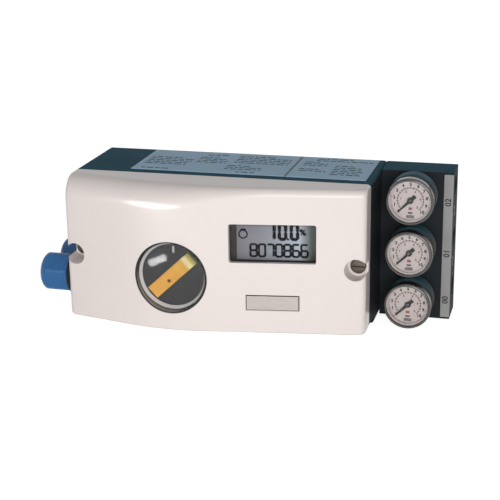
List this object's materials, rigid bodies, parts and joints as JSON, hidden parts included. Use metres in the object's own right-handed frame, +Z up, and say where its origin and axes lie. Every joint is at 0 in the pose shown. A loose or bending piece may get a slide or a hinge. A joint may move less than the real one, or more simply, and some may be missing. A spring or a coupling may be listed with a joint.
{
  "type": "valve positioner",
  "caption": "Electro-pneumatic valve positioner: black housing, crowned off-white cover with display and pointer window, blue cable glands, gauge block on the air side.",
  "frame": {"origin": "on the feedback shaft axis, in the plane of the rear mounting face", "axes": "+X along the housing towards the gauges, +Y out of the rear face along the shaft, +Z up; the cover faces -Y"},
  "size_m": [0.2915, 0.1271, 0.1103],
  "materials": {
    "housing_black": "black stove enamel, fine grain",
    "cover_white": "smooth off-white enamel",
    "black_plastic": "moulded, satin",
    "disc_black": "smooth black",
    "pointer_yellow": "golden yellow",
    "clear_window": "clear",
    "lcd_glass": "grey display film",
    "panel_grey": "light grey",
    "button_grey": "soft grey caps",
    "board_green": "solder mask",
    "terminal_green": "moulded",
    "steel_screw": "plain",
    "shaft_steel": "turned",
    "brass": "plain",
    "alloy_grey": "machined",
    "coil_grey": "moulded",
    "rubber_black": "plain",
    "label_blue_grey": "printed film",
    "strip_grey": "printed film",
    "plate_silver": "satin",
    "gauge_metal": "dark bright metal",
    "dial_white": "printed face",
    "needle_black": "plain",
    "gland_blue": "moulded blue nylon"
  },
  "bodies": {
    "housing": {"main_housing": "housing_black", "cover_gasket": "rubber_black", "front_shaft_bush": "brass", "rear_shaft_bush": "brass", "shaft_seal": "rubber_black", "position_sensor": "black_plastic", "circuit_board": "board_green", "operator_panel": "panel_grey", "panel_screws": "steel_screw", "display_frame": "black_plastic", "display_glass": "lcd_glass", "terminal_block": "terminal_green", "terminal_screws": "steel_screw", "air_manifold": "alloy_grey", "ip_converter": "coil_grey", "exhaust_vent": "black_plastic", "earth_screw": "steel_screw", "top_label_left": "label_blue_grey", "top_label_right": "label_blue_grey", "gauge_block": "housing_black", "block_screws": "steel_screw", "port_seals": "rubber_black", "port_label_strip": "strip_grey", "gauge_movements": "brass", "gland_inserts": "rubber_black", "gauge_case_1": "gauge_metal", "gauge_dial_1": "dial_white", "gauge_lens_1": "clear_window", "gauge_bezel_1": "gauge_metal", "gauge_case_2": "gauge_metal", "gauge_dial_2": "dial_white", "gauge_lens_2": "clear_window", "gauge_bezel_2": "gauge_metal", "gauge_case_3": "gauge_metal", "gauge_dial_3": "dial_white", "gauge_lens_3": "clear_window", "gauge_bezel_3": "gauge_metal", "gland_body_1": "gland_blue", "gland_cap_1": "gland_blue", "gland_body_2": "gland_blue", "gland_cap_2": "gland_blue"},
    "cover": {"cover_shell": "cover_white", "indicator_bezel": "black_plastic", "indicator_window": "clear_window", "display_window": "clear_window", "name_plate": "plate_silver", "cover_screws": "steel_screw"},
    "shaft": {"feedback_shaft": "shaft_steel", "pointer_disc": "disc_black", "position_pointer": "pointer_yellow", "sensor_wiper": "brass", "shaft_clip": "steel_screw"},
    "needle_1": {"gauge_needle_1": "needle_black"},
    "needle_2": {"gauge_needle_2": "needle_black"},
    "needle_3": {"gauge_needle_3": "needle_black"},
    "mode_push": {"mode_button": "button_grey"},
    "enter_push": {"enter_button": "button_grey"},
    "up_push": {"up_button": "button_grey"},
    "down_push": {"down_button": "button_grey"}
  },
  "joints": [
    {"name": "shaft_turn", "type": "hinge", "parent": "housing", "child": "shaft", "pos_m": [0, 0, 0], "axis": [0, 1, 0], "range_deg": [-105, 9]},
    {"name": "cover_off", "type": "slide", "parent": "housing", "child": "cover", "axis": [0, -1, 0], "range_m": [0, 0.06]},
    {"name": "gauge_1_reading", "type": "hinge", "parent": "housing", "child": "needle_1", "pos_m": [0.15356, -0.0587, -0.0218], "axis": [0, 1, 0], "range_deg": [0, 270]},
    {"name": "gauge_2_reading", "type": "hinge", "parent": "housing", "child": "needle_2", "pos_m": [0.15356, -0.0587, 0.0145], "axis": [0, 1, 0], "range_deg": [0, 270]},
    {"name": "gauge_3_reading", "type": "hinge", "parent": "housing", "child": "needle_3", "pos_m": [0.15356, -0.0587, 0.0508], "axis": [0, 1, 0], "range_deg": [0, 270]},
    {"name": "mode_press", "type": "slide", "parent": "housing", "child": "mode_push", "axis": [0, 1, 0], "range_m": [0, 0.001], "stiffness_N_per_m": 300},
    {"name": "enter_press", "type": "slide", "parent": "housing", "child": "enter_push", "axis": [0, 1, 0], "range_m": [0, 0.001], "stiffness_N_per_m": 300},
    {"name": "up_press", "type": "slide", "parent": "housing", "child": "up_push", "axis": [0, 1, 0], "range_m": [0, 0.001], "stiffness_N_per_m": 300},
    {"name": "down_press", "type": "slide", "parent": "housing", "child": "down_push", "axis": [0, 1, 0], "range_m": [0, 0.001], "stiffness_N_per_m": 300}
  ]
}
